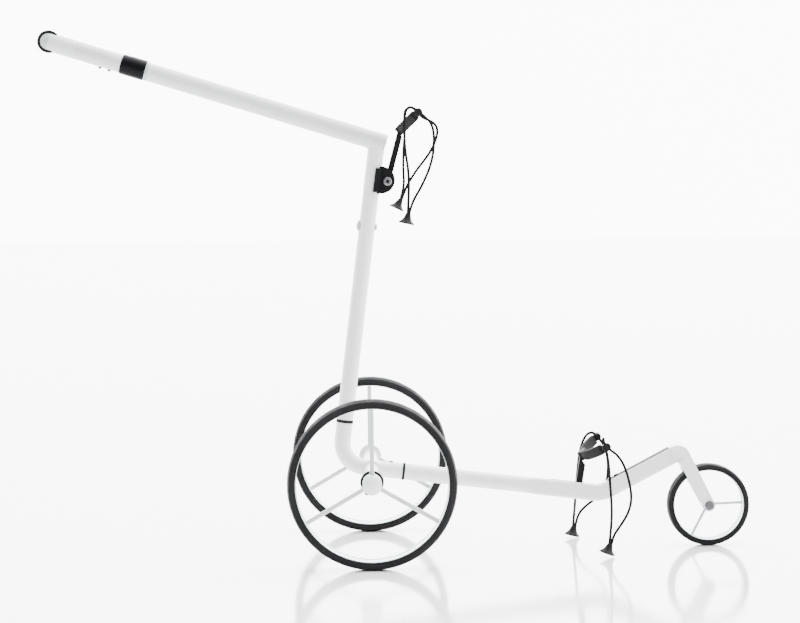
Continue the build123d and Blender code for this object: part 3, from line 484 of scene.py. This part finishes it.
for part in frame["record"]["subparts"]:
    dress_node(part["node"], LOOKS[part["material_slot"]])
for own_look, nodes in (
    (SHADE_DARKENED_SPOKE_LOOK, ("rear_spider_left", "rear_spider_right", "front_spider")),
    (RIM_LOOK, ("rear_rim_left", "rear_rim_right", "front_rim")),
    (SHADE_DARKENED_HANDLE_LOOK, ("handle_tube", "handle_front_cap", "grip_inner_tube")),
    (BOLT_LOOK, ("front_axle_bolt", "grip_studs")),
    (GREY_CAP_LOOK, ("main_cross_bolt", "grip_end_cap")),
    (socket_bolt_look(), ("upper_pivot_bolt",)),
):
    for node in nodes:
        dress_node(node, own_look)
for piece in CORDS.values():
    dress(piece, LOOKS["elastic"])
for piece in BELL_PIECES.values():
    dress(piece, LOOKS["black_plastic"])


def settle(piece, body, slot, look=None, replaced=()):
    """Gives a new piece its body and its material: the given look, or else its slot's look."""
    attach(piece, body)
    dress(piece, look or LOOKS[slot])
    if replaced:
        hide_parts(*replaced)
    return piece


# ------------------------------------------------------------------ tyres
TYRE_STEPS = 160
TYRE_SHARP = 30.0
LIP_REACH = 3.0 * MM
# Bends of a side wall in millimetres, as (radius from their base, depth inside the wall's face): the lip on
# the rim, the shallow groove half way up, and the rounded edge under the tread.
LIP_BENDS = ((0.0, 1.5), (0.6, 0.5), (2.0, 0.0))
WALL_GROOVE = ((-1.2, 0.0), (-0.6, 0.5), (0.6, 0.5), (1.2, 0.0))
EDGE_BENDS = ((0.0, 0.0), (2.2, 0.4), (3.6, 1.4))
EDGE_START = 4.0 * MM
# The tread falls away from its middle, a little as a crown and steeply near its shoulders.
CROWN_FALL = 0.028
SHOULDER_FALL = 0.022
SHOULDER_POWER = 3.2
# places across the tread, as shares of its half width
SHOULDER_AT = 0.92
GROOVES_AT = (-0.5, 0.0, 0.5)
BETWEEN_GROOVES = 0.25
GROOVE_DEPTH = 1.1 * MM
GROOVE_EDGE = 0.1 * GROOVE_DEPTH
GROOVE_HALF = 0.9 * MM
GROOVE_FLOOR_HALF = 0.45 * GROOVE_HALF
HIDDEN_RISE = 3.4 * MM
HIDDEN_IN = 3.2 * MM


def tyre_profile(node):
    """Rounded tread with three shallow grooves, side walls with a fine groove, and lips on the rim."""
    low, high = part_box(node)
    outer = (high.z - low.z) / 2
    half = (high.y - low.y) / 2
    rim_low, rim_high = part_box(node.replace("tyre", "rim"))
    lip = (rim_high.z - rim_low.z) / 2 - LIP_REACH
    crown = CROWN_FALL * half
    shoulder = SHOULDER_FALL * outer

    def tread(y):
        return outer - shoulder * abs(y / half) ** SHOULDER_POWER - crown * (y / half) ** 2

    wall_top = tread(half) - EDGE_START
    wall = []
    for base, bends in ((lip, LIP_BENDS), ((lip + wall_top) / 2, WALL_GROOVE), (wall_top, EDGE_BENDS)):
        wall += [(base + out * MM, depth * MM - half) for out, depth in bends]
    wall.append((tread(SHOULDER_AT * half), -SHOULDER_AT * half))
    points = list(wall)
    for share in GROOVES_AT:
        y = share * half
        before = y - 2 * GROOVE_HALF
        after = y + 2 * GROOVE_HALF
        edge = tread(y) - GROOVE_EDGE
        bottom = tread(y) - GROOVE_DEPTH
        points += [(tread(before), before), (edge, y - GROOVE_HALF), (bottom, y - GROOVE_FLOOR_HALF)]
        points += [(bottom, y + GROOVE_FLOOR_HALF), (edge, y + GROOVE_HALF), (tread(after), after)]
        if share != GROOVES_AT[-1]:
            between = y + BETWEEN_GROOVES * half
            points.append((tread(between), between))
    points += [(r, -y) for r, y in reversed(wall)]
    # inside the rim's edges the rubber is hidden, so the profile closes straight across
    hidden = half - HIDDEN_IN
    points += [(lip + HIDDEN_RISE, hidden), (lip + HIDDEN_RISE, -hidden)]
    return points


for node, body in (
    ("rear_tyre_left", "rear_wheel_left"),
    ("rear_tyre_right", "rear_wheel_right"),
    ("front_tyre", "front_wheel"),
):
    low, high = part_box(node)
    middle = (low + high) / 2
    profile = tyre_profile(node)
    tyre = lathe(node + "_tread", profile, middle, (0, 1, 0), TYRE_STEPS, TYRE_SHARP)
    settle(tyre, body, "tyre_rubber", None, (node,))

# ------------------------------------------------------------------ rubber sleeves on the cradles
CRADLE_R = 154.5 * MM
CRADLE_DEPTH = 41.0 * MM
SLEEVE_START = math.radians(4.6)
SLEEVE_END = math.radians(37.2)
SLEEVE_STEPS = 150
SLEEVE_SHARP = 50.0
SLEEVE_MIDDLE = -0.5 * MM
SLEEVE_HALF = (5.2 * MM, 9.2 * MM)
SLEEVE_CORNER = 2.6 * MM
CORNER_POINTS = 7
# the sleeves' ribs: one to this length, and how deep the rubber is sunk between them
RIB_LENGTH = 3.4 * MM
RIB_DEPTH = 0.28 * MM
SLEEVE_ROUND = 1.2 * MM
SLEEVE_SHRINK = 0.5 * SLEEVE_ROUND
UPPER_RISE = math.radians(44.5)
LOWER_RISE = math.radians(34.0)


def rounded_outline(half_x, half_y, corner):
    """Points round a rectangle with rounded corners."""
    points = []
    for cx, cy, start in ((1, 1, 0), (-1, 1, 90), (-1, -1, 180), (1, -1, 270)):
        for k in range(CORNER_POINTS):
            angle = math.radians(start + 90 * k / (CORNER_POINTS - 1))
            x = cx * (half_x - corner) + corner * math.cos(angle)
            y = cy * (half_y - corner) + corner * math.sin(angle)
            points.append((x, y))
    return points


def add_sleeves(level, tip, rise):
    """Ribbed rubber sleeves on both arms of a cradle, swept along its arc, with rounded ends."""
    way = Vector((math.cos(rise), 0, math.sin(rise)))
    up = Vector((-math.sin(rise), 0, math.cos(rise)))
    centre = tip - way * CRADLE_DEPTH + way * CRADLE_R
    outline = rounded_outline(*SLEEVE_HALF, SLEEVE_CORNER)
    count = len(outline)
    vertices, faces = [], []
    for side in (1, -1):
        first = len(vertices)
        for i in range(SLEEVE_STEPS + 1):
            angle = SLEEVE_START + (SLEEVE_END - SLEEVE_START) * i / SLEEVE_STEPS
            along = (angle - SLEEVE_START) * CRADLE_R
            left_over = (SLEEVE_END - angle) * CRADLE_R
            whole = min(along, left_over, SLEEVE_ROUND) / SLEEVE_ROUND
            shrink = SLEEVE_SHRINK * (1 - math.sqrt(max(0, 1 - (1 - whole) ** 2)))
            sunk = RIB_DEPTH * (1 - math.cos(math.tau * along / RIB_LENGTH)) / 2 * whole
            out = (-way) * math.cos(angle) + Vector((0, side, 0)) * math.sin(angle)
            for x, y in outline:
                grow_x = math.copysign(abs(x) - shrink - sunk, x)
                grow_y = math.copysign(abs(y) - shrink, y)
                vertices.append(centre + out * (CRADLE_R + SLEEVE_MIDDLE + grow_x) + up * grow_y)
        for i in range(SLEEVE_STEPS):
            for k in range(count):
                a = first + i * count + k
                b = first + i * count + (k + 1) % count
                faces.append((a, b, b + count, a + count))
        faces.append(tuple(first + k for k in range(count)))
        faces.append(tuple(first + SLEEVE_STEPS * count + k for k in range(count)))
    sleeves = add_mesh(level + "_sleeves", vertices, faces, SLEEVE_SHARP)
    return settle(sleeves, level + "_support", "black_rubber", None, (level + "_pads",))


add_sleeves("upper", UPPER_TIP, UPPER_RISE)
add_sleeves("lower", LOWER_TIP, LOWER_RISE)

# ------------------------------------------------------------------ grip with a seam
HANDLE_FRONT = Vector((X_AXLE + 0.0342, 0, 0.7482))
HANDLE_BACK = Vector(JOINTS["grip_slide"]["axis"])
GRIP_START = 507.4 * MM
GRIP_END = 645.7 * MM
SEAM_AT = 593.0 * MM
# half of the seam in millimetres, from its edge to its floor, as (depth, distance from its middle)
SEAM_BENDS = ((0.0, 0.7), (0.1, 0.4), (0.55, 0.25))
HANDLE_R = 17.0 * MM
HANDLE_IN = 15.0 * MM
GRIP_BEVEL = 0.5 * MM
GRIP_STEPS = 128
GRIP_SHARP = 40.0


def add_grip():
    """Outer tube of the grip, with a fine seam round it and a small bevel on its front edge."""
    length = GRIP_END - GRIP_START
    seam = SEAM_AT - GRIP_START
    profile = [(HANDLE_IN, 0.0), (HANDLE_R - GRIP_BEVEL, 0.0), (HANDLE_R, GRIP_BEVEL)]
    profile += [(HANDLE_R - depth * MM, seam - off * MM) for depth, off in SEAM_BENDS]
    profile += [(HANDLE_R - depth * MM, seam + off * MM) for depth, off in reversed(SEAM_BENDS)]
    profile += [(HANDLE_R, length), (HANDLE_IN, length)]
    place = HANDLE_FRONT + HANDLE_BACK * GRIP_START
    grip = lathe("grip_outer", profile, place, HANDLE_BACK, GRIP_STEPS, GRIP_SHARP)
    return settle(grip, "grip", "white_paint", SHADE_DARKENED_HANDLE_LOOK, ("grip_tube",))


add_grip()

# ------------------------------------------------------------------ weld seams
WELD_RIPPLE = 2.6 * MM
WELD_SWELL = 0.16
BEAD_SIDES = 12
BEAD_SHARP = 60.0
SEAM_STEPS = 160


def add_seam(name, path, radius):
    """Closed weld seam: a bead along a loop of points, with the small ripples of its puddles."""
    count = len(path)
    vertices, faces = [], []
    run = 0.0
    for i, point in enumerate(path):
        way = (path[(i + 1) % count] - path[i - 1]).normalized()
        side = way.cross(Vector((0, 0, 1)) if abs(way.z) < 0.9 else Vector((1, 0, 0))).normalized()
        lift = way.cross(side)
        thick = radius * (1 + WELD_SWELL * abs(math.sin(math.pi * run / WELD_RIPPLE)))
        for k in range(BEAD_SIDES):
            angle = math.tau * k / BEAD_SIDES
            vertices.append(point + (side * math.cos(angle) + lift * math.sin(angle)) * thick)
        run += (path[(i + 1) % count] - point).length
    for i in range(count):
        here = i * BEAD_SIDES
        ahead = (i + 1) % count * BEAD_SIDES
        for k in range(BEAD_SIDES):
            turned = (k + 1) % BEAD_SIDES
            faces.append((here + k, here + turned, ahead + turned, ahead + k))
    return settle(add_mesh(name, vertices, faces, BEAD_SHARP), "frame", "white_paint")


def ring_path(centre, radius):
    """Circle round a centre on the rear axle's line."""
    turn = Vector((0, 1, 0)).to_track_quat("Z", "Y").to_matrix()
    angles = [math.tau * i / SEAM_STEPS for i in range(SEAM_STEPS)]
    return [centre + turn @ Vector((radius * math.cos(a), radius * math.sin(a), 0)) for a in angles]


def saddle_path(foot, up, radius, over_point, over_way, over_radius):
    """Where a round tube that rises along a way meets a larger round tube that crosses it."""
    side = Vector((0, 1, 0))
    front = side.cross(up).normalized()
    points = []
    for i in range(SEAM_STEPS):
        angle = math.tau * i / SEAM_STEPS
        start = foot + (front * math.cos(angle) + side * math.sin(angle)) * radius
        gap = start - over_point
        a = up - over_way * up.dot(over_way)
        b = gap - over_way * gap.dot(over_way)
        half_b = a.dot(b)
        root = math.sqrt(max(0.0, half_b**2 - a.dot(a) * (b.dot(b) - over_radius**2)))
        points.append(start + up * ((-half_b - root) / a.dot(a)))
    return points


MAIN_TILT = math.radians(7.18)
MAIN_UP = Vector((math.sin(MAIN_TILT), 0, math.cos(MAIN_TILT)))
MAIN_FOOT = Vector((X_AXLE - 0.0575, 0, 0.1581))
MAIN_R = 15.0 * MM
AXLE_R = 13.0 * MM
BARREL_HALF = 32.0 * MM
FLANGE_AT = 240.0 * MM
REAR_AXLE = Vector((X_AXLE, 0, Z_AXLE))
HANDLE_BEAD = 1.3 * MM
BARREL_BEAD = 1.5 * MM
FLANGE_BEAD = 1.2 * MM
# how far a bead's middle lies outside the axle tube, and off the face that it joins
BEAD_OUT = 0.6 * MM
BEAD_OFF = 0.3 * MM
# a place on the main tube's line below the handle, from which the seam's points are sent up
BELOW_HANDLE = MAIN_FOOT + MAIN_UP * 0.5
saddle = saddle_path(BELOW_HANDLE, MAIN_UP, MAIN_R, HANDLE_FRONT, HANDLE_BACK, HANDLE_R)
add_seam("handle_seam", saddle, HANDLE_BEAD)
for side_name, side_sign in (("left", 1), ("right", -1)):
    barrel_end = REAR_AXLE + Vector((0, side_sign * (BARREL_HALF + BEAD_OFF), 0))
    add_seam("barrel_seam_" + side_name, ring_path(barrel_end, AXLE_R + BEAD_OUT), BARREL_BEAD)
    flange_face = REAR_AXLE + Vector((0, side_sign * (FLANGE_AT - BEAD_OFF), 0))
    add_seam("flange_seam_" + side_name, ring_path(flange_face, AXLE_R + BEAD_OUT), FLANGE_BEAD)

# ------------------------------------------------------------------ floor and light
FLOOR_MIDDLE = (0, 7, 0)
FLOOR_SIZE = (44, 34, 1)
FLOOR_PALE = (0.87, 0.87, 0.87)
FLOOR_DARK = (0.45, 0.45, 0.45)
# places on the floor, as shares of its length from its middle, where its darker front starts and is full
FLOOR_NEAR = -0.26
FLOOR_FRONT = -0.33


def add_floor():
    """Pale glossy floor, darker well in front of the object, on the camera's side."""
    bpy.ops.mesh.primitive_plane_add(size=1, location=FLOOR_MIDDLE)
    floor = bpy.context.object
    floor.name = "floor"
    floor.scale = FLOOR_SIZE
    look = Look("floor", FLOOR_PALE, 0.09)
    split = look.nodes.new("ShaderNodeSeparateXYZ")
    look.links.new(look.place, split.inputs["Vector"])
    look.tint(split.outputs["Y"], FLOOR_DARK, 1.0, FLOOR_NEAR, FLOOR_FRONT)
    look.set(Specular_IOR_Level=0.85, IOR=1.6)
    dress(floor, look)
    floor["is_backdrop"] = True


TOP_LIGHT_PLACE = Vector((0.4, 0.3, 3.2))
TOP_LIGHT_AIM = Vector((0, 0, 0.4))
TOP_LIGHT_SIZE = 2.4
TOP_LIGHT_POWER = 60


def add_top_light():
    """Square soft light above the object."""
    data = bpy.data.lights.new("top_light", "AREA")
    data.energy = TOP_LIGHT_POWER
    data.size = TOP_LIGHT_SIZE
    light = bpy.data.objects.new("top_light", data)
    light.location = TOP_LIGHT_PLACE
    light.rotation_euler = (TOP_LIGHT_AIM - TOP_LIGHT_PLACE).to_track_quat("-Z", "Y").to_euler()
    bpy.context.scene.collection.objects.link(light)


# The world's strength in a direction is its base plus the direction's dot product with the slope.
WORLD_BASE = 4.8
WORLD_SLOPE = (2.4, 6.4, 2.0)
WORLD_LEAST = 0.45


def add_world():
    """Soft studio round the object: brightest behind it, darker on the camera's side."""
    world = bpy.data.worlds.new("studio")
    world.use_nodes = True
    nodes = world.node_tree.nodes
    links = world.node_tree.links
    place = nodes.new("ShaderNodeTexCoord")
    slope = nodes.new("ShaderNodeVectorMath")
    slope.operation = "DOT_PRODUCT"
    slope.inputs[1].default_value = WORLD_SLOPE
    links.new(place.outputs["Generated"], slope.inputs[0])
    base = nodes.new("ShaderNodeMath")
    base.operation = "ADD"
    base.inputs[1].default_value = WORLD_BASE
    links.new(slope.outputs["Value"], base.inputs[0])
    least = nodes.new("ShaderNodeMath")
    least.operation = "MAXIMUM"
    least.inputs[1].default_value = WORLD_LEAST
    links.new(base.outputs["Value"], least.inputs[0])
    nodes["Background"].inputs["Color"].default_value = (1, 1, 1, 1)
    links.new(least.outputs["Value"], nodes["Background"].inputs["Strength"])
    bpy.context.scene.world = world


add_floor()
add_top_light()
add_world()


def shown_box():
    """Lowest and highest corner of the shown object. A cord is measured on its own surface."""
    shown = bpy.context.evaluated_depsgraph_get()
    corners = []
    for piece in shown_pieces():
        if piece.type == "CURVE":
            mesh = bpy.data.meshes.new_from_object(piece.evaluated_get(shown))
            corners += [piece.matrix_world @ v.co for v in mesh.vertices]
            bpy.data.meshes.remove(mesh)
        else:
            corners += [piece.matrix_world @ Vector(c) for c in piece.bound_box]
    low = [min(c[k] for c in corners) for k in range(3)]
    high = [max(c[k] for c in corners) for k in range(3)]
    return low, high


{"cad": [list(v) for v in CAD_BOX], "visual": list(shown_box())}
